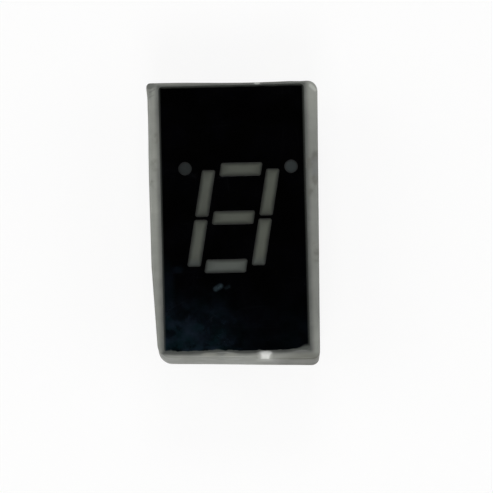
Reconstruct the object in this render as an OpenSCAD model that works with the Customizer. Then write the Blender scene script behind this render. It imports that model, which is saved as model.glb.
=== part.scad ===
// Seven segment display: one digit with a point at each side, cast in milky resin, with two rows
// of legs. Lengths are in millimetres and angles in degrees.
//
// Frame: the origin lies on the seating plane under the body, midway between the rows of legs.
// The face looks along +Z, and the legs go down along -Z. The head of the body is its +Y end,
// where the two points are, and the foot is its -Y end.

/* [Reflector block] */
// Width of the black face
face_w = 10.08; // [9.6:0.02:13]
// Length of the black face
face_len = 18.45; // [17.5:0.05:24]
// Depth of the block behind its face
block_t = 3; // [1.6:0.05:4.6]
// Corner radius of the block
face_corner_r = 0.3; // [0.1:0.05:0.6]

/* [Cast body] */
// Height of the face above the seat
body_t = 6.35; // [6:0.05:9]
// Resin at the left of the face, at the head
rim_left_head = 0.85; // [0.5:0.01:1.6]
// Resin at the left of the face, at the foot
rim_left_foot = 0.42; // [0.4:0.01:1.6]
// How far the left wall bulges out of a straight line
left_bulge = 0.19; // [0.05:0.01:0.3]
// Distance of that bulge below the middle of the face
left_bulge_y = 3.2; // [1:0.1:5]
// Resin at the right of the face, at the head
rim_right_head = 0.96; // [0.5:0.01:1.6]
// Resin at the right of the face, at the foot
rim_right_foot = 0.68; // [0.45:0.01:1.6]
// Resin above the face, at the head
rim_head = 0.3; // [0.25:0.01:1.5]
// Resin below the face, at the middle of the foot
rim_foot = 0.53; // [0.5:0.01:1.5]
// How much deeper the foot is at its right end than at its left
foot_skew = 0.36; // [0:0.01:0.4]
// How far the resin has shrunk below the face
rim_drop = 0.05; // [0.02:0.01:0.3]
// Corner radius of the body, head left
corner_head_left = 0.3; // [0.25:0.05:0.7]
// Corner radius of the body, head right
corner_head_right = 0.85; // [0.25:0.05:0.9]
// Corner radius of the body, foot left
corner_foot_left = 1; // [0.25:0.05:1.1]
// Corner radius of the body, foot right
corner_foot_right = 0.55; // [0.25:0.05:0.9]
// Radius of the round edge at the top of the body
edge_r = 0.18; // [0.05:0.01:0.2]

/* [Digit] */
// How far the digit's middle lies to the right of the face's middle
digit_x = -0.04; // [-0.1:0.01:0.1]
// How far the digit's middle lies above the face's middle
digit_y = 0.02; // [-0.05:0.01:0.1]
// Distance between the centre lines of neighbouring level bars
row_pitch = 3.34; // [3:0.02:4]
// Distance between the centre lines of the upright bars
column_pitch = 4.44; // [4.3:0.02:5.2]
// Width of every bar
bar_w = 0.94; // [0.7:0.01:1]
// Length of a level bar
level_len = 2.88; // [2.5:0.02:3]
// Gap between an upper and a lower upright bar
split_gap = 0.2; // [0.12:0.01:0.5]
// Corner radius of a bar
bar_corner_r = 0.15; // [0.03:0.01:0.3]
// How far the digit leans to the right
slant = 10; // [0:0.5:12]
// Diameter of a point
point_d = 0.93; // [0.7:0.01:1.1]
// Distance from the face's middle to the left point
point_left_x = 3.31; // [3.2:0.01:3.6]
// Distance from the face's middle to the right point
point_right_x = 4.02; // [3.7:0.01:4.2]
// Height of both points above the face's middle
point_y = 3.49; // [3.3:0.01:4.2]

/* [Chips and bond wires] */
// Side of a light-emitting chip
chip_side = 0.3; // [0.2:0.01:0.4]
// Thickness of a chip
chip_t = 0.2; // [0.1:0.01:0.3]
// Distance from a chip's centre to the other end of its wire
bond_span = 0.8; // [0.72:0.01:1]
// Diameter of a bond wire
wire_d = 0.05; // [0.03:0.005:0.07]
// Diameter of the ball and of the stitch at a wire's ends
ball_d = 0.11; // [0.08:0.01:0.18]
// Rise of a wire's loop
wire_rise = 0.25; // [0.1:0.01:0.4]
// Width of the slot under a point, which holds its chip and wire
slot_w = 0.52; // [0.45:0.01:0.6]
// Height left in that slot above the wire
slot_headroom = 0.3; // [0.1:0.05:0.6]

/* [Leads] */
// Thickness of the lead sheet
sheet_t = 0.25; // [0.15:0.01:0.35]
// Width of the strips inside the body
strip_w = 0.4; // [0.25:0.01:0.46]
// Diameter of the pad under a chip
pad_d = 0.62; // [0.58:0.01:0.7]
// Diameter of the pad under the other end of a wire
bond_pad_d = 0.44; // [0.3:0.01:0.5]
// Distance between neighbouring legs
leg_pitch = 2.54; // [2.5:0.01:2.6]
// Distance between the two rows of legs
row_span = 7.62; // [7.4:0.01:8]
// Width of a leg
leg_w = 0.5; // [0.3:0.01:0.9]
// Length of a leg below the seat
leg_drop = 3.4; // [2.8:0.05:5]
// Width of a leg at its tip
tip_w = 0.3; // [0.15:0.01:0.3]
// Length of the taper at a leg's tip
tip_len = 0.6; // [0.2:0.05:0.7]
// Width of the shoulder that anchors a leg in the body
shoulder_w = 1; // [0.9:0.01:1.6]
// Height of the shoulder's lower end above the seat
shoulder_z = 0.6; // [0.2:0.05:0.9]
// Inside radius of the bend at the top of a leg
bend_r = 0.15; // [0.05:0.01:0.2]
// Length of the flat tab between a bend and its strip
tab_len = 0.4; // [0.3:0.01:0.45]

/* [Hidden] */
$fn = 64;

// Heights of the block's back, the sheet's underside and the resin's top
back_z = body_t - block_t;
sheet_z = back_z - sheet_t;
rim_z = body_t - rim_drop;

// The body's rounded edge starts this far inside its walls
edge_step = 0.02;
// Thickness of the slices that the rounded edge is blended from, and the angle between them
slice_t = 0.01;
slice_angle = 18;
// Facets of a full turn in those slices
hull_fn = 32;

// A bond wire is swept through this many stations, with this many sides
wire_stations = 9;
wire_sides = 6;

// Directions in the plane of the face: level, and along the leaning upright bars
level = [1, 0];
upright = [sin(slant), cos(slant)];

// A step in the leaning digit, from the same step in an upright one
function leaned(x, y) = [x + y * tan(slant), y];
// A place in the leaning digit
function in_digit(x, y) = [digit_x, digit_y] + leaned(x, y);

upright_len = row_pitch - split_gap / 2;
upright_y = row_pitch - upright_len / 2;
left_x = -column_pitch / 2;
right_x = column_pitch / 2;

// The rows of legs
LEFT = -1;
RIGHT = 1;

// Every window: its name, its kind, its centre, the way that its bond wire runs, and its lead's leg.
// A leg is given by its row and by its place there, counted from the head.
WINDOWS = [
    ["top", "level", in_digit(0, row_pitch), level, [LEFT, 0]],
    ["upper_left", "upright", in_digit(left_x, upright_y), upright, [LEFT, 2]],
    ["upper_right", "upright", in_digit(right_x, upright_y), -upright, [RIGHT, 0]],
    ["middle", "level", in_digit(0, 0), level, [LEFT, 3]],
    ["lower_left", "upright", in_digit(left_x, -upright_y), upright, [LEFT, 5]],
    ["lower_right", "upright", in_digit(right_x, -upright_y), upright, [RIGHT, 5]],
    ["bottom", "level", in_digit(0, -row_pitch), -level, [RIGHT, 6]],
    ["point_left", "point", [-point_left_x, point_y], level, [LEFT, 1]],
    ["point_right", "point", [point_right_x, point_y], -[0, 1], [RIGHT, 1]],
];
function place_name(w) = w[0];
function is_point(w) = w[1] == "point";
function is_level(w) = w[1] == "level";
function chip_at(w) = w[2];
function wire_way(w) = w[3];
function leg_of(w) = w[4];
// Whether its lead's strip runs straight from leg to pad
function runs_straight(w) = is_point(w) || place_name(w) == "upper_left" || place_name(w) == "middle";
// Where a window's bond wire ends
function bond_at(w) = chip_at(w) + bond_span * wire_way(w);
function window_at(name) = [for (w = WINDOWS) if (place_name(w) == name) w][0];
function bond_of(name) = bond_at(window_at(name));

ANODE_LEGS = [[LEFT, 6], [RIGHT, 4]];
last_place = 6;

bend_outer_r = bend_r + sheet_t;
leg_x = row_span / 2;
bend_x = leg_x + sheet_t / 2 - bend_outer_r;
head_x = bend_x - tab_len / 2;
function leg_y(leg) = (last_place / 2 - leg[1]) * leg_pitch;
// Where a leg's strip starts
function strip_start(leg) = [leg[0] * head_x, leg_y(leg)];

function light_name(w) = str(is_point(w) ? "light_" : "segment_", place_name(w));

// ---- Outlines ----

function unit(v) = v / norm(v);
function cross_z(a, b) = a.x * b.y - a.y * b.x;
// Half of the angle at q between the edges to p and to s
function half_angle(p, q, s) = acos(unit(p - q) * unit(s - q)) / 2;
function fillet_centre(p, q, s, r) =
    q + unit(unit(p - q) + unit(s - q)) * r / sin(half_angle(p, q, s));
function fillet_reach(p, q, s, r) = r / tan(half_angle(p, q, s));

// A convex outline whose corner i is rounded to radii[i]
module rounded_outline(corners, radii) {
    n = len(corners);
    before = [for (i = [0 : n - 1]) corners[(i + n - 1) % n]];
    after = [for (i = [0 : n - 1]) corners[(i + 1) % n]];
    polygon([
        for (i = [0 : n - 1])
            let (reach = fillet_reach(before[i], corners[i], after[i], radii[i]))
                for (side = [before[i], after[i]])
                    corners[i] + reach * unit(side - corners[i])
    ]);
    for (i = [0 : n - 1])
        translate(fillet_centre(before[i], corners[i], after[i], radii[i]))
            circle(r = radii[i]);
}

// The body seen from the face: narrower and skewed at its foot, with a bulge in its left wall
module body_outline() {
    head_left = [-face_w / 2 - rim_left_head, face_len / 2 + rim_head];
    foot_left = [-face_w / 2 - rim_left_foot, -face_len / 2 - rim_foot + foot_skew / 2];
    foot_right = [face_w / 2 + rim_right_foot, -face_len / 2 - rim_foot - foot_skew / 2];
    head_right = [face_w / 2 + rim_right_head, face_len / 2 + rim_head];
    down = (head_left.y + left_bulge_y) / (head_left.y - foot_left.y);
    bulge = head_left + down * (foot_left - head_left) - [left_bulge, 0];
    rounded_outline(
        [head_left, bulge, foot_left, foot_right, head_right],
        [corner_head_left, corner_head_left, corner_foot_left, corner_foot_right, corner_head_right]
    );
}

module face_outline() {
    rounded_outline(
        [for (s = [[-1, 1], [-1, -1], [1, -1], [1, 1]]) [s.x * face_w / 2, s.y * face_len / 2]],
        [for (i = [0 : 3]) face_corner_r]
    );
}

// One bar of the digit: level, or leaning upright
module bar_outline(w) {
    half = is_level(w) ? [level_len / 2, bar_w / 2] : [bar_w / 2, upright_len / 2];
    rounded_outline(
        [for (s = [[-1, 1], [-1, -1], [1, -1], [1, 1]])
            chip_at(w) + leaned(s.x * half.x, s.y * half.y)],
        [for (i = [0 : 3]) bar_corner_r]
    );
}

// A band with round ends, along a line of places
module band(places, width) {
    for (i = [0 : len(places) - 2]) {
        run = places[i + 1] - places[i];
        translate(places[i])
            rotate(atan2(run.y, run.x))
                translate([0, -width / 2])
                    square([norm(run), width]);
    }
    for (p = places)
        translate(p)
            circle(d = width);
}

// ---- Windows of the block ----

// The hollow behind window w, filled with diffusing resin. A point's widens to a slot at the back.
module hollow(w) {
    translate([0, 0, back_z])
        linear_extrude(block_t)
            if (is_point(w))
                translate(chip_at(w))
                    circle(d = point_d);
            else
                bar_outline(w);
    if (is_point(w))
        translate([0, 0, back_z])
            linear_extrude(chip_t + wire_rise + slot_headroom)
                band([chip_at(w), bond_at(w)], slot_w);
}

module chip(w) {
    color("#b04030")
        translate([chip_at(w).x, chip_at(w).y, back_z])
            rotate(atan2(wire_way(w).y, wire_way(w).x))
                translate([-chip_side / 2, -chip_side / 2, 0])
                    cube([chip_side, chip_side, chip_t]);
}

// A bond wire runs in an upright plane: distance along its way, and height above the sheet
function wire_point(t) = [bond_span * t * t, chip_t * (1 - t) + 4 * wire_rise * t * (1 - t)];
function wire_slope(t) = [2 * bond_span * t, -chip_t + 4 * wire_rise * (1 - 2 * t)];
// The wire stands square on the chip and on the strip, so its end rings lie flat
function wire_across(i, t) =
    i == 0 ? [-1, 0] : i == wire_stations ? [1, 0]
    : let (s = unit(wire_slope(t))) [-s.y, s.x];
function wire_r(i) = (i == 0 || i == wire_stations ? ball_d : wire_d) / 2;

module bond_wire(w) {
    way = wire_way(w);
    aside = [-way.y, way.x];
    points = [
        for (i = [0 : wire_stations])
            let (t = i / wire_stations, p = wire_point(t), up = wire_across(i, t))
                for (k = [0 : wire_sides - 1])
                    let (
                        a = 360 * k / wire_sides,
                        along = p.x + wire_r(i) * sin(a) * up.x,
                        height = p.y + wire_r(i) * sin(a) * up.y,
                        flat = chip_at(w) + along * way + wire_r(i) * cos(a) * aside
                    )
                        [flat.x, flat.y, back_z + height]
    ];
    sides = [
        for (i = [0 : wire_stations - 1], k = [0 : wire_sides - 1])
            let (
                a = i * wire_sides + k,
                b = i * wire_sides + (k + 1) % wire_sides,
                c = b + wire_sides,
                d = a + wire_sides
            )
                each [[a, b, c], [a, c, d]]
    ];
    first = [for (k = [wire_sides - 1 : -1 : 0]) k];
    last = [for (k = [0 : wire_sides - 1]) wire_stations * wire_sides + k];
    color("#d9b34a")
        polyhedron(points, concat([first], sides, [last]));
}

// The diffusing resin that shows as a bar or a point
module light(w) {
    color(is_point(w) ? "#2d3234" : "#55584f")
        difference() {
            hollow(w);
            chip(w);
            bond_wire(w);
        }
}

// ---- Lead frame ----

// A leg with its shoulder, bend and tab, made on the right and mirrored for the left
module bent_leg(leg) {
    mirror([leg[0] == LEFT ? 1 : 0, 0, 0])
        translate([0, leg_y(leg), 0]) {
            translate([0, shoulder_w / 2, 0])
                rotate([90, 0, 0])
                    linear_extrude(shoulder_w)
                        bend_section();
            translate([leg_x - sheet_t / 2, 0, 0])
                rotate([90, 0, 90])
                    linear_extrude(sheet_t)
                        leg_front();
        }
}

// Seen along the row: the tab, the bend, and the shoulder down to its lower end
module bend_section() {
    translate([bend_x - tab_len, sheet_z])
        square([tab_len, sheet_t]);
    translate([bend_x, back_z - bend_outer_r])
        intersection() {
            difference() {
                circle(r = bend_outer_r);
                circle(r = bend_r);
            }
            square(bend_outer_r);
        }
    translate([leg_x - sheet_t / 2, shoulder_z])
        square([sheet_t, back_z - bend_outer_r - shoulder_z]);
}

// Seen across the rows: the leg, with its tapered tip
module leg_front() {
    polygon([
        [-leg_w / 2, shoulder_z],
        [-leg_w / 2, tip_len - leg_drop],
        [-tip_w / 2, -leg_drop],
        [tip_w / 2, -leg_drop],
        [leg_w / 2, tip_len - leg_drop],
        [leg_w / 2, shoulder_z],
    ]);
}

module sheet() {
    translate([0, 0, sheet_z])
        linear_extrude(sheet_t)
            children();
}

// The strip from leg to pad: straight, or level first and then along the body
module lead(w) {
    start = strip_start(leg_of(w));
    pad = chip_at(w);
    turns = runs_straight(w) ? [] : [[pad.x, start.y]];
    color("#b4b6b6")
        union() {
            bent_leg(leg_of(w));
            sheet() {
                band(concat([start], turns, [pad]), strip_w);
                translate(pad)
                    circle(d = pad_d);
            }
        }
}

// The common anode: a bus between its two legs, with a finger to every chip's wire
module anode_frame() {
    bus_y = bond_of("lower_left").y;
    foot_start = strip_start(ANODE_LEGS[0]);
    side_start = strip_start(ANODE_LEGS[1]);
    foot_x = bond_of("bottom").x;
    spine = bond_of("middle");
    // A place on the leaning strip that rises from the middle bar's wire to the top bar's
    function on_spine(y) = spine + leaned(0, y);
    color("#b4b6b6")
        union() {
            for (leg = ANODE_LEGS)
                bent_leg(leg);
            sheet() {
                band([foot_start, [foot_x, foot_start.y], [foot_x, bus_y]], strip_w);
                band([bond_of("lower_left"), [side_start.x, bus_y]], strip_w);
                band([side_start, [side_start.x, bus_y], bond_of("point_right")], strip_w);
                band([[spine.x, bus_y], spine, bond_of("top")], strip_w);
                band([on_spine(bond_of("upper_right").y), bond_of("upper_right")], strip_w);
                band([
                    on_spine(bond_of("upper_left").y),
                    bond_of("upper_left"),
                    bond_of("point_left")
                ], strip_w);
                for (w = WINDOWS)
                    translate(bond_at(w))
                        circle(d = bond_pad_d);
            }
        }
}

// ---- Block and body ----

module reflector_block() {
    color("#0b0b0c")
        difference() {
            translate([0, 0, back_z])
                linear_extrude(block_t)
                    face_outline();
            for (w = WINDOWS)
                hollow(w);
        }
}

// The cast envelope: straight walls, and a round edge at the top
module body_envelope() {
    linear_extrude(rim_z - edge_r)
        body_outline();
    hull()
        for (a = [0 : slice_angle : 90], $fn = hull_fn)
            translate([0, 0, rim_z - edge_r * (1 - sin(a)) - slice_t])
                linear_extrude(slice_t)
                    offset(delta = -edge_step - edge_r * (1 - cos(a)))
                        body_outline();
}

module cast_body() {
    color("#84867e")
        difference() {
            body_envelope();
            translate([0, 0, back_z])
                linear_extrude(block_t)
                    face_outline();
            for (w = WINDOWS)
                lead(w);
            anode_frame();
        }
}

// ---- The nodes ----

cast_body();
reflector_block();
for (w = WINDOWS) {
    light(w);
    chip(w);
    bond_wire(w);
    lead(w);
}
anode_frame();
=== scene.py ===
"""Looks of a seven segment display: a black face block cast in milky resin, with two rows of legs."""

import math
from collections import namedtuple

import bmesh
import bpy
from mathutils import Matrix, Vector, geometry, noise


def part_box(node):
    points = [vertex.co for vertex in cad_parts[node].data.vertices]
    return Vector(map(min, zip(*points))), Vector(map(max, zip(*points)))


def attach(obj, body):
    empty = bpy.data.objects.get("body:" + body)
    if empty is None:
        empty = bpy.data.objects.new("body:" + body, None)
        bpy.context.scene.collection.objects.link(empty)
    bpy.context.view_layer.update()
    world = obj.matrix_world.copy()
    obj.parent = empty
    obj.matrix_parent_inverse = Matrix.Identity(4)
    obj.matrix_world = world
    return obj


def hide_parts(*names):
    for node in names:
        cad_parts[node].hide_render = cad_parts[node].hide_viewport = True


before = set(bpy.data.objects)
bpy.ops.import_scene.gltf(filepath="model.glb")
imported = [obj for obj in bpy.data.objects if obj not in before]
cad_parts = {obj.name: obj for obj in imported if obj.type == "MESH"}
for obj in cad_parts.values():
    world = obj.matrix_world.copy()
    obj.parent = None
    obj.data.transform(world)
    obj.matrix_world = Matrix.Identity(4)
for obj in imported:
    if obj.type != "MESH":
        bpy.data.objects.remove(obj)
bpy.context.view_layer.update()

MM = 0.001
BODY = "root"
PLACES = (
    "top", "upper_left", "upper_right", "middle", "lower_left", "lower_right", "bottom",
    "point_left", "point_right",
)
BARS = ["segment_" + place for place in PLACES if not place.startswith("point")]
POINTS = ["light_" + place for place in PLACES if place.startswith("point")]
LEADS = ["lead_" + place for place in PLACES] + ["anode_frame"]
CHIPS = ["chip_" + place for place in PLACES]
WIRES = ["bond_wire_" + place for place in PLACES]


def box_mm(node):
    """Lowest and highest corner of a CAD node, in millimetres."""
    low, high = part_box(node)
    return low / MM, high / MM


BODY_LOW, BODY_HIGH = box_mm("cast_body")
BLOCK_LOW, BLOCK_HIGH = box_mm("reflector_block")
FACE_Z = BLOCK_HIGH.z
RIM_Z = BODY_HIGH.z
BACK_Z = BLOCK_LOW.z
# Nicks in the edge of the foot (-1) and of the head (1): place across, reach in from the edge, and
# half of the width and of the length of the dent
Nick = namedtuple("Nick", "across reach half_width half_length")
NICKS = {-1: Nick(1.92, 0.5, 0.8, 0.75), 1: Nick(1.8, 0.24, 0.58, 0.58)}
FACE_HALF_W = (BLOCK_HIGH.x - BLOCK_LOW.x) / 2
FACE_HALF_L = (BLOCK_HIGH.y - BLOCK_LOW.y) / 2
LEG_TIP_Z = box_mm("anode_frame")[0].z


# ---- Camera ----

# The view spans this width at the face, from this far away
VIEW_SPAN = 34.02
VIEW_DISTANCE = 453
# The camera leans towards the foot and is rolled a little, so the display stands askew
LEAN_TO_FOOT = 4.8
ROLL = 1.35
# What the camera points at, from the middle of the face
AIM = (0.81, -2.0)
SENSOR = 36


def set_camera():
    """Puts the camera in its place."""
    lean, roll = math.radians(LEAN_TO_FOOT), math.radians(ROLL)
    back = Vector((0, -math.sin(lean), math.cos(lean)))
    target = Vector((AIM[0], AIM[1], FACE_Z))
    camera = bpy.data.objects.new("camera", bpy.data.cameras.new("camera"))
    bpy.context.scene.collection.objects.link(camera)
    camera.data.sensor_width = SENSOR
    camera.data.lens = SENSOR * VIEW_DISTANCE / VIEW_SPAN
    camera.data.clip_start, camera.data.clip_end = 0.01, 10
    turn = Matrix.Rotation(lean, 4, "X") @ Matrix.Rotation(-roll, 4, "Z")
    camera.matrix_world = Matrix.Translation((target + back * VIEW_DISTANCE) * MM) @ turn
    bpy.context.scene.camera = camera


# ---- Shader maths ----

class Level:
    """A shader socket. Arithmetic on it adds Math nodes to its tree."""

    def __init__(self, tree, socket):
        self.tree, self.socket = tree, socket

    def calc(self, operation, *values):
        """The level that a Math node makes of these values."""
        return node(self.tree, "ShaderNodeMath", {"operation": operation}, dict(enumerate(values)))

    def __add__(self, other):
        return self.calc("ADD", self, other)

    def __sub__(self, other):
        return self.calc("SUBTRACT", self, other)

    def __rsub__(self, other):
        return self.calc("SUBTRACT", other, self)

    def __mul__(self, other):
        return self.calc("MULTIPLY", self, other)

    def __truediv__(self, other):
        return self.calc("DIVIDE", self, other)

    def __rtruediv__(self, other):
        return self.calc("DIVIDE", other, self)

    def __pow__(self, other):
        return self.calc("POWER", self, other)

    def __rpow__(self, other):
        return self.calc("POWER", other, self)

    def __abs__(self):
        return self.calc("ABSOLUTE", self)

    __radd__ = __add__
    __rmul__ = __mul__

    def at_least(self, other):
        return self.calc("MAXIMUM", self, other)

    def at_most(self, other):
        return self.calc("MINIMUM", self, other)

    def rise(self, low, high):
        """0 up to low, 1 from high, and a smooth rise between them."""
        return node(self.tree, "ShaderNodeMapRange", {"interpolation_type": "SMOOTHSTEP"},
                    {"Value": self, "From Min": low, "From Max": high})


def node(tree, kind, settings=None, sockets=None, out=0):
    """Adds a node: its settings first, then the values or links of its sockets. Returns an output."""
    made = tree.nodes.new(kind)
    for name, value in (settings or {}).items():
        setattr(made, name, value)
    for key, value in (sockets or {}).items():
        if isinstance(value, Level):
            tree.links.new(value.socket, made.inputs[key])
        else:
            made.inputs[key].default_value = value
    return Level(tree, made.outputs[out])


def colour(red, green, blue):
    """A colour from its 0 to 255 display values."""
    linear = [
        value / 255 / 12.92 if value <= 10 else ((value / 255 + 0.055) / 1.055) ** 2.4
        for value in (red, green, blue)
    ]
    return (*linear, 1)


class Finish:
    """A material being mixed. The places and lengths in its maths are in millimetres."""

    def __init__(self, name, **fixed):
        self.material = bpy.data.materials.new(name)
        self.material.use_nodes = True
        self.tree = self.material.node_tree
        self.tree.nodes.clear()
        self.shader = self.tree.nodes.new("ShaderNodeBsdfPrincipled")
        self.output = self.tree.nodes.new("ShaderNodeOutputMaterial")
        self.tree.links.new(self.shader.outputs[0], self.output.inputs["Surface"])
        for name, value in fixed.items():
            self.shader.inputs[name.replace("_", " ")].default_value = value
        place = self.node("ShaderNodeTexCoord", out="Object")
        self.place = self.node("ShaderNodeVectorMath", {"operation": "SCALE"},
                               {0: place, "Scale": 1 / MM})
        self.x, self.y, self.z = (
            self.node("ShaderNodeSeparateXYZ", sockets={0: self.place}, out=axis) for axis in "XYZ"
        )

    def node(self, kind, settings=None, sockets=None, out=0):
        return node(self.tree, kind, settings, sockets, out)

    def grain(self, per_mm, detail=2, stretch=(1, 1, 1), start=0):
        """Soft noise around 0.5, with this many grains in a millimetre."""
        place = self.node("ShaderNodeVectorMath", {"operation": "MULTIPLY_ADD"},
                          {0: self.place, 1: stretch, 2: (start, start, start)})
        return self.node("ShaderNodeTexNoise",
                         sockets={"Vector": place, "Scale": per_mm, "Detail": detail})

    def specks(self, per_mm, radius, share, start=0):
        """Sparse round specks: this share of the cells holds one of this radius in millimetres."""
        place = self.node("ShaderNodeVectorMath", {"operation": "ADD"},
                          {0: self.place, 1: (start, start, start)})
        cell = {"Vector": place, "Scale": per_mm}
        far = self.node("ShaderNodeTexVoronoi", sockets=cell)
        lot = self.node("ShaderNodeTexVoronoi", sockets=cell, out="Color")
        lot = self.node("ShaderNodeSeparateColor", sockets={0: lot})
        size = radius * per_mm
        return (1 - far.rise(size * 0.4, size)) * lot.rise(1 - share, 1 - share + 0.01)

    def hairlines(self, per_mm, width, stretch, start=0):
        """Long thin lines, along the direction in which the noise is stretched."""
        return 1 - abs(self.grain(per_mm, 1, stretch, start) - 0.5).rise(0, width)

    def stroke(self, start, end, half_width, softness):
        """A mask of a stroke with round ends, between two places in the plane of the face."""
        run = Vector(end) - Vector(start)
        from_start = (self.x - start[0], self.y - start[1])
        along = (from_start[0] * run.x + from_start[1] * run.y) / run.length_squared
        along = along.at_least(0).at_most(1)
        aside = [from_start[i] - along * run[i] for i in (0, 1)]
        far = (aside[0] * aside[0] + aside[1] * aside[1]) ** 0.5
        return 1 - far.rise(half_width, half_width + softness)

    def patch(self, middle, reach):
        """A soft oval mask around a place of the face."""
        far = ((self.x - middle[0]) / reach[0]) ** 2 + ((self.y - middle[1]) / reach[1]) ** 2
        return 1 - far.rise(0, 1)

    def patches(self, patches):
        """Soft oval masks added together. Each has its place, reach and strength."""
        return sum(self.patch(place, reach) * strength for place, reach, strength in patches)

    def strokes(self, strokes):
        """Strokes added together. Each has its ends, half width, softness and strength."""
        return sum(self.stroke(*shape) * strength for *shape, strength in strokes)

    def mix(self, factor, first, second):
        """A colour between two, by a factor from 0 to 1."""
        return self.node("ShaderNodeMix", {"data_type": "RGBA"}, {0: factor, 6: first, 7: second}, 2)

    def stained(self, tint, *stains):
        """A colour with stains laid over it one by one. Each has its mask and display colour."""
        for mask, shade in stains:
            tint = self.mix(mask, tint, colour(*shade))
        return tint

    def shade(self, tint, by):
        """A colour made darker or brighter by a factor."""
        return self.node("ShaderNodeVectorMath", {"operation": "SCALE"}, {0: tint, "Scale": by})

    def feed(self, **levels):
        """Links levels to the sockets of the shader that they are named after."""
        for name, value in levels.items():
            self.tree.links.new(value.socket, self.shader.inputs[name.replace("_", " ")])

    def relief(self, height, depth):
        """Bump from a height of 0 to 1, this many millimetres deep."""
        self.feed(Normal=self.node("ShaderNodeBump",
                                   sockets={"Distance": depth * MM, "Height": height}))


# ---- Finishes ----

# Paler and darker stretches of the resin border: place, reach, strength and colour
BORDER_TONES = (
    ((-6.2, -6.6), (2.2, 4.2), 0.8, (115, 117, 112)),
    ((5.2, -10.2), (3.8, 0.9), 0.95, (87, 88, 79)),
    ((-5.9, -1.7), (1.0, 2.6), 0.35, (115, 117, 112)),
    ((-5.9, 4.9), (1.0, 1.0), 0.3, (115, 117, 112)),
    ((5.9, -5.7), (0.9, 2.2), 0.3, (100, 102, 98)),
    ((5.9, -8.6), (0.9, 1.3), 0.4, (139, 141, 135)),
    ((3.9, -10.15), (3.6, 0.45), 0.6, (80, 82, 76)),
    ((-3.9, -9.9), (3.6, 0.6), 0.4, (115, 117, 112)),
)
# Stretches of the foot where the resin over the block is thinner: place, reach and by how much
THIN_STRETCHES = (
    ((-3.5, -9.24), (2.2, 0.24), 0.11),
    ((0.7, -9.2), (1.5, 0.26), 0.24),
    ((3.0, -9.22), (1.4, 0.3), 0.13),
)
# Painted glints: pale streaks painted on the foot's rim where its edge catches the light: place, reach
# and strength
PAINTED_FOOT_GLINTS = (((-1.93, -9.42), (0.75, 0.2), 1), ((-0.45, -9.47), (0.6, 0.2), 1))
# Cloudy blotches in the resin beside the face
BLOTCHES = (
    (5.76, 4.1), (5.25, 3.65), (5.68, 2.5), (5.2, 1.85), (5.62, -2.2), (5.62, -2.9),
    (-5.2, 5.6), (-5.38, 3.8), (-5.46, 2.45),
)
BLOTCH_REACH = (0.42, 0.55)
# Painted shade on the facets of the head's left corner: place, reach and strength
DARK_CORNER = (
    ((-5.58, 9.32), (0.5, 0.3), 1),
    ((-5.66, 9.0), (0.24, 0.8), 0.45),
    ((-5.5, 9.1), (0.7, 0.7), 0.08),
)
# Dark arcs of painted shade in that corner: the ends, half width, softness and strength
SHADED_ARCS = (
    ((-5.62, 8.86), (-5.3, 9.06), 0.01, 0.09, 1),
    ((-5.68, 8.5), (-5.36, 8.66), 0.01, 0.07, 0.6),
)
# Painted highlights at the head, a streak on the right corner and a spot at the nick, given in the
# same way
PAINTED_HEAD_HIGHLIGHTS = (
    ((5.5, 9.08), (5.8, 8.78), 0.03, 0.16, 1),
    ((1.7, 9.36), (1.92, 9.36), 0.04, 0.1, 1),
)


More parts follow.
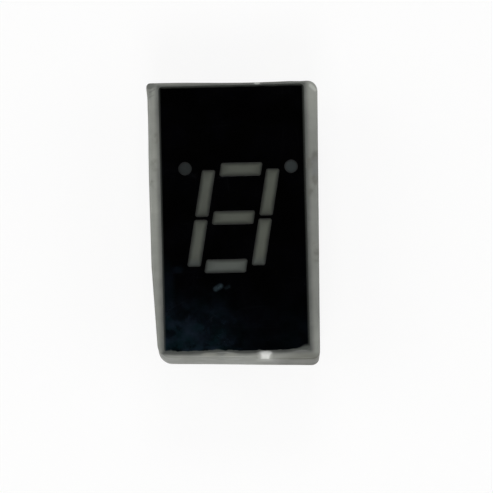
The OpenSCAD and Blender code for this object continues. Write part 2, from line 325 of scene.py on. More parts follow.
def milky_resin():
    """The cast body: greenish grey, darker where it is thin in front of the black block."""
    mix = Finish("milky_resin", IOR=1.52, Specular_IOR_Level=0.4)
    on_rim = mix.z.rise(RIM_Z - 0.3, RIM_Z - 0.1)
    on_wall = 1 - on_rim
    over_x = (abs(mix.x) - FACE_HALF_W).at_least(0)
    over_y = (abs(mix.y) - FACE_HALF_L).at_least(0)
    thickness = (over_x * over_x + over_y * over_y) ** 0.5
    uneven = (mix.grain(0.9, 3) - 0.5) * 0.14
    thinned = mix.patches(THIN_STRETCHES)
    cover = (thickness + uneven - thinned).rise(-0.16, 0.42)
    behind = mix.z.rise(BACK_Z - 0.3, BACK_Z + 0.3)
    clear = 1 - behind * (1 - cover)

    tint = mix.mix((mix.x + 6).rise(0, 12), colour(134, 136, 130), colour(115, 117, 112))
    # Paler at the foot and in the corner by the right point
    pale = mix.patch((6.2, 9.6), (2.2, 4.5)) * 0.7 + (1 - mix.y.rise(-9.9, -8.9)) * 0.5 * clear
    tint = mix.stained(tint, (pale.at_most(1), (139, 141, 135)))
    for place, reach, strength, shade in BORDER_TONES:
        tint = mix.stained(tint, (mix.patch(place, reach) * strength, shade))
    cloud = mix.grain(0.35, 4, start=7).rise(0.42, 0.72)
    tint = mix.stained(tint, (cloud * 0.35, (112, 114, 110)))
    tint = mix.mix(clear, colour(36, 39, 36), tint)

    # The pour end is a little yellower, where the resin set in the open
    pour_end = 1 - mix.z.rise(0, 0.9)
    ripples = mix.grain(1.5, 3, (0.25, 1, 1), start=15)
    dull_stretch = mix.patch((5.65, 3.5), (0.42, 1.3)) * ripples
    blotches = sum(mix.patch(place, BLOTCH_REACH) for place in BLOTCHES).at_most(1)
    blotches = blotches * mix.grain(1.9, 2, start=33).rise(0.3, 0.72) * on_rim
    tint = mix.stained(
        tint,
        (pour_end * 0.35, (134, 131, 117)),
        (dull_stretch, (92, 93, 96)),
        (blotches * 0.75, (84, 84, 77)),
    )
    draw_marks = mix.grain(5, 2, (1, 1, 0.05), start=3)
    grit = mix.grain(14, 2, start=11)
    bubbles = mix.specks(2.2, 0.05, 0.12, start=5)
    tint = mix.shade(tint, 0.97 + (grit - 0.5) * 0.16 + (draw_marks - 0.5) * on_wall * 0.16
                     + (ripples - 0.5) * on_rim * 0.26 - bubbles * 0.14)

    dirt = mix.specks(1.4, 0.045, 0.1, start=9)
    # Painted shade at the head's left corner, with dark arcs in it
    corner = (mix.patches(DARK_CORNER) * on_rim).at_most(1)
    # Painted glints along the foot's rim, broken up by the ripples
    drawn = mix.patches(PAINTED_FOOT_GLINTS) * (0.2 + ripples) * on_rim
    # Painted highlight: a pale glow painted round the foot's nick, fading down the wall
    glow = mix.patch((NICKS[-1].across, -9.68), (0.7, 0.55)) * mix.z.rise(2.5, 6.1)
    thin = mix.patch((0.7, -9.36), (0.9, 0.22)) * on_rim
    # Painted highlights at the head, which are also a little smoother
    painted_highlights = mix.strokes(PAINTED_HEAD_HIGHLIGHTS).at_most(1) * on_rim
    shaded_arcs = mix.strokes(SHADED_ARCS).at_most(1) * on_rim
    tint = mix.stained(
        tint,
        (dirt * 0.55, (58, 52, 44)),
        (corner * 0.9, (80, 82, 78)),
        (drawn * 0.5, (152, 153, 142)),
        (glow * 0.38, (190, 191, 186)),
        (thin * 0.3, (70, 72, 68)),
        (painted_highlights * 0.6, (176, 178, 172)),
        (shaded_arcs * 0.5, (78, 80, 76)),
    )

    # The dents of the nicks are smooth
    polished = mix.patches(((nick_middle(-1), (0.9, 0.6), 1.3), (nick_place(1), (0.5, 0.4), 2)))
    polished = polished.at_most(1) * on_rim
    smears = mix.grain(0.6, 3, (1, 1, 0.4), start=21).rise(0.4, 0.72)
    roughness = (0.36 + smears * 0.2 + (grit - 0.5) * 0.1 - bubbles * 0.12
                 + on_wall * 0.22 - painted_highlights * 0.1 + thinned * on_rim * 1.6)
    mix.feed(Base_Color=tint, Roughness=roughness + polished * (0.2 - roughness))
    mix.relief(draw_marks * on_wall * 0.5 + grit * 0.25 + mix.grain(1.6, 2) * 0.5 - bubbles, 0.02)
    return mix.material


# Two places where the haze on the face is denser: place, reach and strength
HAZE_SPOTS = (((-4.75, -5.0), (0.7, 2.8), 0.2), ((-3.95, -3.5), (0.5, 0.35), 0.22))
# Scuffs below the digit: the ends, half width, softness and strength
SCUFFS = (
    ((-1.37, -4.88), (-1.05, -4.7), 0, 0.27, 1),
    ((-1.3, -4.78), (-1.08, -4.66), 0, 0.05, -0.35),
    ((-0.68, -4.84), (-0.45, -4.74), 0.01, 0.18, 0.2),
)
# Where the film at the foot of the face creeps further or less far: the middle across, the half
# widths within which it does so fully and at all, and by how much
FILM_SWELLS = ((-1.6, 0, 1.0, 0.07), (2.7, 0.3, 1.2, -0.1), (0.6, 0.3, 1.2, -0.07))
FILM_LEAST = 0.03


def resin_film(mix):
    """A mask of the resin that has crept over the edges of the face, furthest at the foot's right."""
    wave = mix.grain(0.9, 3, (1, 0, 0), start=6)
    reach = (0.05 + wave.rise(0.35, 0.75) * 0.2 + mix.x.rise(3.6, 5.0) * 0.24
             + (1 - mix.x.rise(-5.0, -4.0)) * 0.1)
    reach = reach + sum((1 - abs(mix.x - middle).rise(fully, at_all)) * further
                        for middle, fully, at_all, further in FILM_SWELLS)
    from_foot = mix.y + FACE_HALF_L
    at_foot = 1 - (from_foot / reach.at_least(FILM_LEAST)).rise(0.3, 1.25)
    from_side = (FACE_HALF_W - abs(mix.x)).at_most(FACE_HALF_L - mix.y)
    at_side = 1 - (from_side / (0.07 + wave * 0.16)).rise(0, 1.25)
    return at_foot.at_least(at_side * 0.55)


def black_plastic():
    """The face block: glossy black, with a hazy patch, scuffs and a film of resin along its foot."""
    mix = Finish("black_plastic", IOR=1.49, Specular_IOR_Level=0.14)
    on_face = mix.z.rise(FACE_Z - 0.08, FACE_Z - 0.04)
    tint = mix.mix(mix.grain(0.5, 3).rise(0.35, 0.7), colour(1, 1, 1), colour(2, 2, 3))
    # Bluish haze over the lower left of the face
    mottle = mix.grain(1.5, 4, start=2).rise(0.32, 0.7) * 0.7 + mix.grain(0.6, 2, start=4) * 0.6
    haze = (1 - mix.y.rise(-9.0, -3.6)) ** 1.5 * (1 - mix.x.rise(-2.4, 1.2) * 0.86) * mottle
    haze = (haze + mix.patches(HAZE_SPOTS)).at_most(1) * on_face
    bluish = mix.mix(mix.grain(1.1, 2, start=12).rise(0.3, 0.7), colour(7, 20, 24), colour(18, 26, 35))
    tint = mix.mix(haze, tint, bluish)

    broken = mix.grain(7, 3, start=31).rise(0.34, 0.58)
    scuffs = mix.strokes(SCUFFS).at_least(0).at_most(1) * (0.7 + broken * 0.3) * on_face
    film = resin_film(mix) * on_face
    dust = (mix.specks(1.1, 0.03, 0.3, start=17) + mix.specks(2.3, 0.018, 0.22, start=19)).at_most(1)
    scratches = (mix.hairlines(0.35, 0.0035, (1, 0.12, 1), 23)
                 + mix.hairlines(0.3, 0.003, (0.2, 1, 1), 27)) * mix.grain(0.5, 1).rise(0.5, 0.62)
    tint = mix.stained(
        tint,
        (scuffs, (35, 45, 50)),
        (film * 0.75, (78, 81, 77)),
        (dust * on_face * 0.16, (70, 74, 76)),
        (scratches.at_most(1) * on_face * 0.02, (80, 84, 90)),
    )
    smudges = mix.grain(0.45, 4, start=41).rise(0.42, 0.75)
    mix.feed(Base_Color=tint,
             Roughness=0.1 + smudges * 0.05 + haze * 0.03 + film * 0.3 + scuffs * 0.12)
    mix.relief(film * 0.2 + scuffs * broken * 0.2 + dust * 0.3 + mix.grain(1.1, 1) * 0.25
               - scratches * 0.1, 0.012)
    return mix.material


def window_resin(name, left_tint, right_tint, edge_tint, edge_reach):
    """Diffusing resin of the bars or points: dark along the black edge, and paler towards the head,
    where light is painted in.
    The darkness reaches this many millimetres in."""
    mix = Finish(name, IOR=1.52, Specular_IOR_Level=0.35)
    inward = mix.node("ShaderNodeAttribute", {"attribute_name": "inward"}, out="Fac")
    headward = mix.node("ShaderNodeAttribute", {"attribute_name": "headward"}, out="Fac")
    uneven = (mix.grain(1.6, 3) - 0.5) * 0.07
    depth = (inward + uneven).rise(-edge_reach / 5, edge_reach)
    grit = mix.grain(11, 3, start=4)
    cloud = mix.grain(0.8, 2, start=8)
    specks = mix.specks(2.4, 0.05, 0.25, start=12)
    tint = mix.mix((mix.x + 4).rise(0, 8), left_tint, right_tint)
    # Painted light: each piece is paler towards its head side
    tint = mix.shade(tint, 1.01 + headward * 0.1 - mix.y.rise(-3.4, 3.4) * 0.07
                     + (grit - 0.5) * 0.16 + (cloud - 0.5) * 0.12)
    # The foot bar has a bluish cast
    foot_bar = 1 - mix.y.rise(-3.1, -2.6)
    tint = mix.stained(tint, (foot_bar * 0.3, (70, 77, 79)))
    tint = mix.mix(depth, edge_tint, tint)
    tint = mix.stained(tint, (specks * 0.3, (30, 30, 27)))
    mix.feed(Base_Color=tint, Roughness=0.3 + (cloud - 0.5) * 0.1 + specks * 0.2)
    mix.relief(grit * 0.4 + cloud * 0.4 - specks * 0.5, 0.006)
    return mix.material


# The solder dip of the legs ended this far below the seat, and the sheared tips are bare up to
# this height
DIP_DEPTH = 0.85
BARE_TIP = 0.035


def tinned_lead():
    """Legs and strips: tinned sheet, streaked along the legs, duller where the solder dip ended."""
    mix = Finish("tinned_lead")
    streaks = mix.grain(9, 3, (1, 1, 0.06), start=2)
    cloud = mix.grain(1.3, 4, start=5)
    dip_line = mix.z + DIP_DEPTH + (mix.grain(1.8, 2, start=9) - 0.5) * 0.6
    dipped = 1 - dip_line.rise(-0.04, 0.06)
    ridge = 1 - abs(dip_line).rise(0, 0.09)
    # The sheared tips show the copper alloy through the tin
    bare = (1 - mix.z.rise(LEG_TIP_Z, LEG_TIP_Z + BARE_TIP)) * mix.grain(6, 2, start=3).rise(0.35, 0.6)
    spots = mix.specks(2.6, 0.07, 0.3, start=6)
    tint = mix.mix(streaks.rise(0.3, 0.7), colour(150, 151, 150), colour(188, 188, 185))
    tint = mix.stained(
        tint,
        (cloud.rise(0.5, 0.75) * 0.5, (124, 121, 113)),
        (dipped * 0.6, (196, 197, 196)),
        (bare * 0.7, (178, 132, 96)),
        (spots * 0.4, (120, 116, 108)),
    )
    mix.feed(Base_Color=tint, Metallic=1 - spots * 0.3,
             Roughness=0.34 + (streaks - 0.5) * 0.3 - dipped * 0.1 + spots * 0.25 + bare * 0.2)
    mix.relief(streaks * 0.35 + cloud * 0.4 + ridge * 0.8 + dipped * 0.4, 0.02)
    return mix.material


def gold_wire():
    """Bond wires: drawn gold, a little cloudy."""
    mix = Finish("gold_wire", Metallic=1)
    cloud = mix.grain(12, 2, start=1)
    mix.feed(Base_Color=mix.mix(cloud, colour(232, 186, 92), colour(250, 214, 134)),
             Roughness=0.2 + cloud * 0.12)
    mix.relief(mix.grain(30, 2), 0.002)
    return mix.material


def sawn_chip():
    """A chip: sawn red-brown sides, and a gold contact in the middle of its top."""
    mix = Finish("sawn_chip", IOR=3)
    across = mix.node("ShaderNodeTexCoord", out="Generated")
    across_x, across_y, across_z = (
        mix.node("ShaderNodeSeparateXYZ", sockets={0: across}, out=axis) for axis in "XYZ"
    )
    far = ((across_x - 0.5) ** 2 + (across_y - 0.5) ** 2) ** 0.5
    contact = (1 - far.rise(0.2, 0.24)) * across_z.rise(0.96, 0.99)
    sawn = mix.grain(25, 3, (1, 1, 0.2), start=2)
    tint = mix.mix(sawn, colour(96, 38, 30), colour(136, 62, 46))
    mix.feed(Base_Color=mix.mix(contact, tint, colour(236, 196, 110)), Metallic=contact,
             Roughness=0.3 + sawn * 0.3)
    mix.relief(sawn * 0.6 + contact * 0.4, 0.004)
    return mix.material


# ---- Meshes ----

def round_trip(loop):
    """A loop's length."""
    return sum((loop[i] - loop[i - 1]).length for i in range(len(loop)))


def area(loop):
    """A flat loop's area, positive where it runs counter-clockwise."""
    return sum(loop[i - 1].cross(loop[i]) for i in range(len(loop))) / 2


def flat_loops(name, height):
    """The edges of a CAD node's flat surface at a height, as loops of places in millimetres.
    Each runs counter-clockwise, and the largest comes first."""
    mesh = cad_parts[name].data
    key = [tuple(round(value / MM, 4) for value in vertex.co) for vertex in mesh.vertices]
    ways = {}
    for face in mesh.polygons:
        spots = [key[i] for i in face.vertices]
        if len(set(spots)) == 3 and all(abs(spot[2] - height) < 0.001 for spot in spots):
            for i in range(len(spots)):
                if spots[i - 1] != spots[i]:
                    ways[spots[i - 1], spots[i]] = True
    after = {a: b for a, b in ways if (b, a) not in ways}
    loops = []
    while after:
        start = min(after)
        loop, spot = [], start
        while spot in after:
            loop.append(Vector(spot[:2]))
            spot = after.pop(spot)
        loops.append(loop if area(loop) > 0 else loop[::-1])
    return sorted(loops, key=area, reverse=True)


def spread(loop, count):
    """The loop again, with its points evenly spread."""
    step = round_trip(loop) / count
    points, walked, i = [], 0.0, 0
    while len(points) < count:
        a, b = loop[i % len(loop)], loop[(i + 1) % len(loop)]
        long = (b - a).length
        while walked <= long and len(points) < count:
            points.append(a.lerp(b, walked / long) if long else a.copy())
            walked += step
        walked -= long
        i += 1
    return points


def outward(loop):
    """Outward directions at the points of a counter-clockwise loop."""
    ways = []
    for i in range(len(loop)):
        run = (loop[(i + 1) % len(loop)] - loop[i - 1]).normalized()
        ways.append(Vector((run.y, -run.x)))
    return ways


def moved(loop, distance):
    """The loop moved outward by a distance."""
    return [point + way * distance for point, way in zip(loop, outward(loop))]


def lifted(loop, height):
    """The flat loop as a ring at a height."""
    return [Vector((point.x, point.y, height)) for point in loop]


def ring_faces(rings, first=0):
    """Faces between rings of vertices that are laid one after another."""
    count = len(rings[0])
    return [
        (first + r * count + i, first + r * count + (i + 1) % count,
         first + (r + 1) * count + (i + 1) % count, first + (r + 1) * count + i)
        for r in range(len(rings) - 1) for i in range(count)
    ]


class Solid:
    """Vertices and faces of a closed piece, in millimetres. Marks are its points' distances from
    the edge of its window, for a finish to read."""

    def __init__(self):
        self.points, self.faces, self.marks = [], [], []

    def add_rings(self, rings, close_first=True, close_last=True):
        """A skin over rings, which run from the underside outwards, up, and in over the top.
        Returns the place of its first point."""
        first, count = len(self.points), len(rings[0])
        for ring in rings:
            self.points += ring
        self.faces += ring_faces(rings, first)
        if close_first:
            self.faces.append(tuple(range(first + count - 1, first - 1, -1)))
        if close_last:
            last = first + (len(rings) - 1) * count
            self.faces.append(tuple(range(last, last + count)))
        return first

    @staticmethod
    def mark(mesh, name, values):
        """Stores a number for every point of a mesh, for its finish to read."""
        mesh.attributes.new(name, "FLOAT", "POINT").data.foreach_set("value", values)

    def make(self, name, material, sharp=35, flat_top=False):
        mesh = bpy.data.meshes.new(name)
        mesh.from_pydata([point * MM for point in self.points], [], self.faces)
        if self.marks:
            self.mark(mesh, "inward", self.marks)
            up = [point.y for point in self.points]
            low, high = min(up), max(up)
            self.mark(mesh, "headward", [(2 * y - low - high) / (high - low) for y in up])
        return finished(name, mesh, material, sharp, flat_top)


# Edges shorter than this many metres go, and a face is level where its normal is this upright
SHORTEST_EDGE = 1e-8
LEVEL = 0.9999


def finished(name, mesh, material, sharp=35, flat_top=False):
    """Makes a piece of a mesh: its faces turned outward, its soft edges smooth, and its finish on."""
    shaped = bmesh.new()
    shaped.from_mesh(mesh)
    bmesh.ops.dissolve_degenerate(shaped, dist=SHORTEST_EDGE, edges=shaped.edges)
    bmesh.ops.recalc_face_normals(shaped, faces=shaped.faces)
    shaped.to_mesh(mesh)
    shaped.free()
    mesh.shade_smooth()
    mesh.set_sharp_from_angle(angle=math.radians(sharp))
    if flat_top:
        for face in mesh.polygons:
            face.use_smooth = abs(face.normal.z) < LEVEL
    mesh.materials.clear()
    mesh.materials.append(material)
    piece = bpy.data.objects.new(name, mesh)
    bpy.context.scene.collection.objects.link(piece)
    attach(piece, BODY)
    return piece


# ---- Cast body ----

# Points around the body's outline
BODY_POINTS = 720
EDGE_R = 0.18
POUR_EDGE_R = 0.13
# How far the poured underside has sunk, and the share of the way in over which it sinks
DISH = 0.14
DISH_SHARE = 0.35
# How far the surfaces lie inside the cast solid's own
TUCK = 0.004
# The resin climbs this far up the block, and sags this far between it and the rim's crest
MENISCUS = 0.032
MENISCUS_REACH = 0.1
RIM_SAG = 0.012
# Fall of a nick's floor, and the middle share of it that has the full depth
NICK_SLOPE = math.tan(math.radians(17))
NICK_FLOOR = 0.3
# Hollows of the head wall and of the left wall: depth, middle, and reach to either side of it
HEAD_HOLLOWS = ((0.11, 1.3, 6.4, 6.4), (0.045, 4.95, 1.1, 1.1))
LEFT_HOLLOWS = ((0.05, 7.2, 4.6, 2.1), (0.03, 8.4, 0.8, 0.8))
# Unevenness of the walls: depth, grain, how much the height counts, and start
WALL_WAVES = ((0.012, 4, 1, 0), (0.004, 0.8, 0.3, 5))
# Rings of the underside as shares of the way to the body's spine, levels of the wall, and rings of
# the rim as shares of the way from its crest to the block
UNDERSIDE_SHARES = (0.96, 0.85, 0.7, 0.55, 0.42, 0.35, 0.28, 0.22, 0.16, 0.11, 0.07, 0.04, 0.015)
WALL_LEVELS = 16
RIM_SHARES = (0.15, 0.3, 0.45, 0.6, 0.72, 0.82, 0.9, 0.96, 1.0)


def wobble(x, y, z, grain, start=0.0):
    """Soft unevenness from -1 to 1 at a place, with grains of this size in millimetres."""
    return noise.noise(Vector((x / grain + start, y / grain, z / grain)))


def swell(value, middle, reach):
    """A smooth hump from 0 to 1 and back, around a middle."""
    off = abs(value - middle) / reach
    return 0.5 + 0.5 * math.cos(math.pi * off) if off < 1 else 0


def hollow(place, hollows):
    """Depth of a wall's hollows at a place along it."""
    return sum(depth * swell(place, middle, after if place > middle else before)
               for depth, middle, before, after in hollows)


def settled(outline):
    """The outline with the shallow hollows that the head wall and the left wall have."""
    drawn_in = []
    for point, way in zip(outline, outward(outline)):
        depth = (hollow(point.x, HEAD_HOLLOWS) * max(0, way.y) ** 4
                 + hollow(point.y, LEFT_HOLLOWS) * max(0, -way.x) ** 4)
        drawn_in.append(point - way * depth)
    return drawn_in


def nick_place(side):
    """Where the nick of the foot (-1) or of the head (1) lies on the body's outline."""
    across = NICKS[side].across
    loop = flat_loops("cast_body", 0)[0]
    for a, b in zip(loop, loop[1:] + loop[:1]):
        if a.y * side > 0 and min(a.x, b.x) <= across < max(a.x, b.x):
            return a.lerp(b, (across - a.x) / (b.x - a.x))
    raise ValueError("the outline has no place for the nick")


def nick_middle(side):
    """The deepest place of that nick's dent, a third of its reach in from the edge."""
    return nick_place(side) - Vector((0, side * NICKS[side].reach / 3))


def nicked(spot, edge):
    """Lowers a place on the top edge, whose nearest place on the outline is given, inside a nick."""
    nick = NICKS[-1 if edge.y < 0 else 1]
    inward = (Vector(spot[:2]) - edge).length
    off = math.hypot((edge.x - nick.across) / nick.half_width,
                     (inward - nick.reach / 3) / nick.half_length)
    if inward >= nick.reach or off >= 1 or abs(edge.y) < FACE_HALF_L:
        return spot
    low = min(spot.z, RIM_Z - TUCK - (nick.reach - inward) * NICK_SLOPE)
    share = swell(max(off, NICK_FLOOR), NICK_FLOOR, 1 - NICK_FLOOR)
    return Vector((spot.x, spot.y, spot.z + (low - spot.z) * share))


def dish(point, share):
    """Height of the underside: the poured resin has sunk a little between the walls."""
    sinking = min(1, share / DISH_SHARE)
    sunk = DISH * sinking * (1 - 0.5 * (1 - sinking) ** 2)
    return sunk * (0.9 + 0.1 * wobble(point.x, point.y, 0, 2.5))


def nearest_on(loop, point):
    """The place on a loop that is nearest to a point."""
    best = None
    for i in range(len(loop)):
        a, b = loop[i - 1], loop[i]
        spot, share = geometry.intersect_point_line(point, a, b)
        spot = a if share < 0 else b if share > 1 else Vector(spot[:2])
        if best is None or (spot - point).length < best[0]:
            best = ((spot - point).length, spot)
    return best[1]


def cast_body(material):
    """The resin body: a dished underside, uneven walls, a round edge and a rim down to the block."""
    outline = settled(spread(flat_loops("cast_body", 0)[0], BODY_POINTS))
    block = flat_loops("reflector_block", BACK_Z)[0]
    ways = outward(outline)
    half = (BODY_HIGH.y - BODY_LOW.y) / 2 - (BODY_HIGH.x - BODY_LOW.x) / 2
    spine = [Vector((0, max(-half, min(half, point.y)))) for point in outline]

    def wall(inset, z):
        """The outline at a height, drawn in by an inset and by the unevenness of the cast walls."""
        ring = []
        for point, way in zip(outline, ways):
            uneven = sum(depth * (1 + wobble(point.x, point.y, z * height_counts, grain, start))
                         for depth, grain, height_counts, start in WALL_WAVES)
            spot = point - way * (inset + uneven)
            ring.append(Vector((spot.x, spot.y, z)))
        return ring

    rings = []
    lowest = wall(POUR_EDGE_R * 1.02, 0)
    for share in UNDERSIDE_SHARES:
        ring = []
        for point, middle in zip(lowest, spine):
            spot = Vector(point[:2]).lerp(middle, share)
            ring.append(Vector((spot.x, spot.y, dish(spot, share))))
        rings.append(ring)
    for angle in range(0, 91, 18):
        a = math.radians(angle)
        rings.append(wall(POUR_EDGE_R * (1 - math.sin(a)), POUR_EDGE_R * (1 - math.cos(a))))
    top_z = RIM_Z - EDGE_R
    rings += [wall(0, POUR_EDGE_R + (top_z - POUR_EDGE_R) * k / WALL_LEVELS)
              for k in range(1, WALL_LEVELS + 1)]
    for angle in range(15, 91, 15):
        a = math.radians(angle)
        ring = wall(EDGE_R * (1 - math.cos(a)), top_z + EDGE_R * math.sin(a) - TUCK)
        rings.append([nicked(spot, edge) for spot, edge in zip(ring, outline)])
    crest = rings[-1]
    rim = [nearest_on(block, Vector(point[:2])) for point in crest]
    for share in RIM_SHARES:
        ring = []
        for point, inner, edge in zip(crest, rim, outline):
            spot = Vector(point[:2]).lerp(inner, share)
            left = (spot - inner).length
            height = RIM_Z - TUCK + MENISCUS * math.exp(-left / MENISCUS_REACH)
            height -= RIM_SAG * math.sin(math.pi * share) * (1 + wobble(spot.x, spot.y, 0, 1.5))
            ring.append(nicked(Vector((spot.x, spot.y, height)), edge))
        rings.append(ring)
    rings.append(lifted(rim, BACK_Z))
    body = Solid()
    body.add_rings(rings)
    creep_up_legs(body)
    piece = body.make("resin_body", material, 40)
    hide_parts("cast_body")


# Resin that creeps along the legs: its radius and height, its gap to the leg, and how deep in the
# body its edge and its root lie
CREEP_R = 0.15
CREEP_HEIGHT = CREEP_R * 1.6
CREEP_GAP = 0.004
CREEP_EDGE = 0.005
CREEP_ROOT = 0.12


def creep_up_legs(body):
    """Resin creeps a little way along every leg where it leaves the underside."""
    for leg in flat_loops("cast_body", 0)[1:]:
        low = Vector((min(p.x for p in leg), min(p.y for p in leg)))
        high = Vector((max(p.x for p in leg), max(p.y for p in leg)))
        middle, half = (low + high) / 2, (high - low) / 2
        rings = [lifted(rounded_box(middle, half, CREEP_R), DISH + CREEP_ROOT)]
        for angle in range(0, 91, 15):
            a = math.radians(angle)
            out = CREEP_R * (1 - math.sin(a)) + CREEP_GAP
            height = DISH + CREEP_EDGE - CREEP_HEIGHT * (1 - math.cos(a))
            rings.append(lifted(rounded_box(middle, half, out), height))
        body.add_rings(rings)


def rounded_box(middle, half, out, steps=5):
    """A rectangle with a margin around it, whose corners are round."""
    loop = []
    for corner, (sx, sy) in enumerate(((1, 1), (-1, 1), (-1, -1), (1, -1))):
        for k in range(steps + 1):
            a = math.radians(90 * (corner + k / steps))
            loop.append(middle + Vector((sx * half.x + out * math.cos(a),
                                         sy * half.y + out * math.sin(a))))
    return loop


# ---- Face block and windows ----

BLOCK_EDGE_R = 0.012
WINDOW_EDGE_R = 0.004
EDGE_STEPS = 3


def face_block(material):
    """The black block, with a fine round edge along its outline and round every window."""
    loops = flat_loops("reflector_block", FACE_Z)
    block = Solid()
    top, bottom = [], []
    for place, loop in enumerate(loops):
        side, edge_r = (-1, BLOCK_EDGE_R) if place == 0 else (1, WINDOW_EDGE_R)
        rings = [lifted(loop, BACK_Z)]
        for k in range(EDGE_STEPS + 1):
            a = math.radians(90 * k / EDGE_STEPS)
            drawn = moved(loop, side * edge_r * (1 - math.cos(a)))
            rings.append(lifted(drawn, FACE_Z - edge_r * (1 - math.sin(a))))
        first = block.add_rings(rings, close_first=False, close_last=False)
        count = len(loop)
        bottom.append((first, lifted(loop, BACK_Z)))
        top.append((first + (len(rings) - 1) * count, rings[-1]))
    for level in (bottom, top):
        places = [first + i for first, ring in level for i in range(len(ring))]
        for triangle in geometry.tessellate_polygon([ring for _, ring in level]):
            block.faces.append(tuple(places[i] for i in triangle))
    piece = block.make("face_block", material, flat_top=True)
    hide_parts("reflector_block")


# Rings of a window's surface as shares of the way to its middle, how far it hangs there, and how
# wide it curves up to the block along its edge
WINDOW_SHARES = (0.0, 0.04, 0.1, 0.18, 0.28, 0.4, 0.55, 0.72, 0.86, 0.95)
WINDOW_DIP = 0.006
WINDOW_MENISCUS = 0.06
# Height of its straight sides below the face, its depth at the edge and its unevenness
WINDOW_SIDE = 0.2
WINDOW_TUCK = 0.004
WINDOW_UNEVEN = 0.004
# A window is a bar where its far end is this much further from its middle than its side
BAR_RATIO = 1.3


def window(name, piece_name, material):
    """Resin in a window of the block: its surface hangs a little between the edges."""
    loop = flat_loops(name, FACE_Z)[0]
    middle = sum(loop, Vector((0, 0))) / len(loop)
    far = max(loop, key=lambda point: (point - middle).length)
    width = min((point - middle).length for point in loop)
    is_bar = (far - middle).length > BAR_RATIO * width
    line = centre_line(loop, middle) if is_bar else (middle, middle)
    targets = [on_line(point, line) for point in loop]
    reach = max((point - target).length for point, target in zip(loop, targets))
    rings = [lifted(loop, BACK_Z), lifted(loop, FACE_Z - WINDOW_SIDE)]
    for share in WINDOW_SHARES:
        ring = []
        for point, target in zip(loop, targets):
            spot = point.lerp(target, share)
            fall = WINDOW_DIP * (1 - math.exp(-share * reach / WINDOW_MENISCUS / 2))
            fall += WINDOW_UNEVEN * share * (1 + wobble(spot.x, spot.y, 0, 0.7))
            ring.append(Vector((spot.x, spot.y, FACE_Z - WINDOW_TUCK - fall)))
        rings.append(ring)
    resin = Solid()
    resin.add_rings(rings)
    resin.marks = [(Vector(spot[:2]) - nearest_on(loop, Vector(spot[:2]))).length
                   for ring in rings for spot in ring]
    piece = resin.make(piece_name, material)
    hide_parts(name)


def centre_line(loop, middle):
    """The line through a bar's middle that ends half a bar's width short of each end."""
    best = None
    for step in range(180):
        a = math.radians(step)
        way = Vector((math.cos(a), math.sin(a)))
        thick = max(abs((point - middle).cross(way)) for point in loop)
        if best is None or thick < best[0]:
            best = (thick, way)
    thick, way = best
    long = max((point - middle).dot(way) for point in loop) - thick
    return (middle - way * long, middle + way * long)


def on_line(point, line):
    """The place on a line that is nearest to a point."""
    start, end = line
    run = end - start
    if start == end:
        return start
    share = max(0, min(1, (point - start).dot(run) / run.length_squared))
    return start + run * share


# ---- Leads ----

# Radius of the sheared edges, and the turn between two faces, in degrees, from which they have one
SHEARED_EDGE = 0.022
SHEARED_TURN = 40


def lead(name, material):
    """A lead with its sheared edges worn round."""
    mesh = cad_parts[name].data.copy()
    shaped = bmesh.new()
    shaped.from_mesh(mesh)
    bmesh.ops.remove_doubles(shaped, verts=shaped.verts, dist=1e-7)
    bmesh.ops.dissolve_limit(shaped, angle_limit=math.radians(1), verts=shaped.verts,
                             edges=shaped.edges)
    rims = [edge for edge in shaped.edges
            if len(edge.link_faces) == 2 and edge.calc_face_angle() > math.radians(SHEARED_TURN)]
    bmesh.ops.bevel(shaped, geom=rims, offset=SHEARED_EDGE * MM, offset_type="OFFSET", segments=2,
                    profile=0.5, affect="EDGES", clamp_overlap=True)
    shaped.to_mesh(mesh)
    shaped.free()
    piece = finished("tinned_" + name, mesh, material)
    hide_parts(name)


# ---- Floor and light ----

# Reach of the level floor and rise of its far edge, in metres
FLOOR_REACH = 0.5
FLOOR_RISE = 0.28
FLOOR_RINGS = 8
FLOOR_SIDES = 96
# Share of an even white in what the floor shows to the eye
FLOOR_WHITE = 0.86


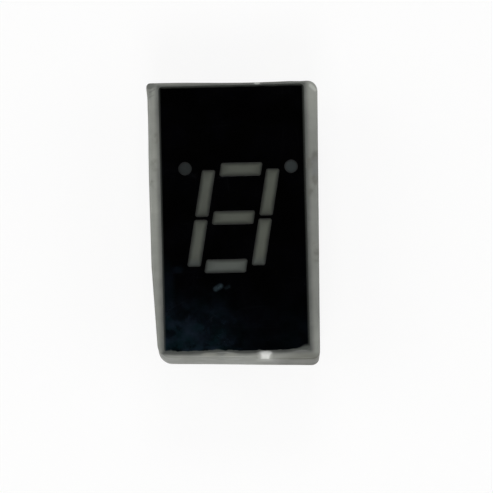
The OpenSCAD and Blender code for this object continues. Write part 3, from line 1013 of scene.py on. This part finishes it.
def floor_sweep():
    """A pale floor whose far edge rises all round in a smooth curve."""
    finish = Finish("pale_floor", Roughness=0.9)
    finish.feed(Base_Color=finish.mix(finish.grain(0.02, 3), colour(232, 232, 231),
                                      colour(238, 238, 237)))
    rays = [finish.node("ShaderNodeLightPath", out=name)
            for name in ("Is Camera Ray", "Is Glossy Ray", "Is Transmission Ray")]
    seen = (rays[0] + rays[1] + rays[2]).at_most(1)
    under = finish.node("ShaderNodeNewGeometry", out="Backfacing")
    white = finish.node("ShaderNodeEmission", sockets={"Strength": 1.0})
    plain = Level(finish.tree, finish.shader.outputs[0])
    surface = finish.node("ShaderNodeMixShader", sockets={0: seen * FLOOR_WHITE, 1: plain, 2: white})
    through = finish.node("ShaderNodeBsdfTransparent")
    surface = finish.node("ShaderNodeMixShader", sockets={0: under, 1: surface, 2: through})
    finish.tree.links.new(surface.socket, finish.output.inputs["Surface"])
    profile = [(FLOOR_REACH * k / FLOOR_RINGS, 0) for k in range(FLOOR_RINGS + 1)]
    profile += [
        (FLOOR_REACH + FLOOR_RISE * math.sin(math.radians(a)),
         FLOOR_RISE * (1 - math.cos(math.radians(a)))) for a in range(9, 91, 9)
    ]
    points = [Vector((0, 0, 0))]
    faces = []
    for out, up in profile[1:]:
        points += [Vector((out * math.cos(math.tau * i / FLOOR_SIDES),
                           out * math.sin(math.tau * i / FLOOR_SIDES), up))
                   for i in range(FLOOR_SIDES)]
    for i in range(FLOOR_SIDES):
        after = (i + 1) % FLOOR_SIDES
        faces.append((0, 1 + i, 1 + after))
        for r in range(len(profile) - 2):
            a = 1 + r * FLOOR_SIDES
            faces.append((a + i, a + FLOOR_SIDES + i, a + FLOOR_SIDES + after, a + after))
    mesh = bpy.data.meshes.new("floor")
    mesh.from_pydata([point + Vector((0, 0, LEG_TIP_Z * MM)) for point in points], [], faces)
    mesh.shade_smooth()
    mesh.materials.append(finish.material)
    floor = bpy.data.objects.new("floor", mesh)
    bpy.context.scene.collection.objects.link(floor)


# Soft lights: direction round the display and height above it in degrees, distance and side in
# metres, and power in watts
SOFT_LIGHTS = {
    "key_at_foot": (-4, 62, 0.75, 0.2, 1.7),
    "fill_at_right": (80, 52, 0.8, 0.5, 1.3),
    "fill_at_left": (-95, 52, 0.8, 0.5, 1.5),
    "fill_at_head": (178, 55, 0.8, 0.25, 1.2),
}


def soft_light(name, turn, height, distance, side, power):
    """A square lamp that faces the display."""
    lamp = bpy.data.lights.new(name, "AREA")
    lamp.shape, lamp.size, lamp.energy = "SQUARE", side, power
    turn, height = math.radians(turn), math.radians(height)
    back = Vector((math.sin(turn) * math.cos(height), -math.cos(turn) * math.cos(height),
                   math.sin(height)))
    light = bpy.data.objects.new(name, lamp)
    bpy.context.scene.collection.objects.link(light)
    light.location = back * distance
    light.rotation_mode = "QUATERNION"
    light.rotation_quaternion = (-back).to_track_quat("-Z", "Y")


# Light of the room: overhead, all round, and the heights between which it changes
OVERHEAD_GLOW = 0.006
ROOM_GLOW = 0.42
OVERHEAD = (0.78, 0.93)


def room():
    """A plain room: dark straight overhead, so that glossy black stays black from above."""
    world = bpy.data.worlds.new("room")
    world.use_nodes = True
    tree = world.node_tree
    tree.nodes.clear()
    way = node(tree, "ShaderNodeTexCoord", out="Generated")
    height = node(tree, "ShaderNodeSeparateXYZ", sockets={0: way}, out="Z")
    glow = OVERHEAD_GLOW + (1 - height.rise(*OVERHEAD)) * ROOM_GLOW
    sky = node(tree, "ShaderNodeBackground", sockets={"Color": (1, 1, 1, 1), "Strength": glow})
    output = tree.nodes.new("ShaderNodeOutputWorld")
    tree.links.new(sky.socket, output.inputs["Surface"])
    bpy.context.scene.world = world


# ---- Making ----

set_camera()
bpy.context.scene.view_settings.view_transform = "Standard"

cast_body(milky_resin())
face_block(black_plastic())
bar_finish = window_resin("bar_resin", colour(69, 72, 66), colour(73, 76, 69), colour(8, 9, 8), 0.34)
point_finish = window_resin("point_resin", colour(24, 28, 28), colour(36, 41, 41),
                            colour(4, 5, 5), 0.2)
for bar in BARS:
    window(bar, bar.replace("segment_", "bar_"), bar_finish)
for point in POINTS:
    window(point, point.replace("light_", ""), point_finish)
tin = tinned_lead()
for name in LEADS:
    lead(name, tin)
for names, finish in ((CHIPS, sawn_chip()), (WIRES, gold_wire())):
    for name in names:
        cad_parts[name].data.materials.clear()
        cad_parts[name].data.materials.append(finish)

floor_sweep()
room()
for name, values in SOFT_LIGHTS.items():
    soft_light(name, *values)
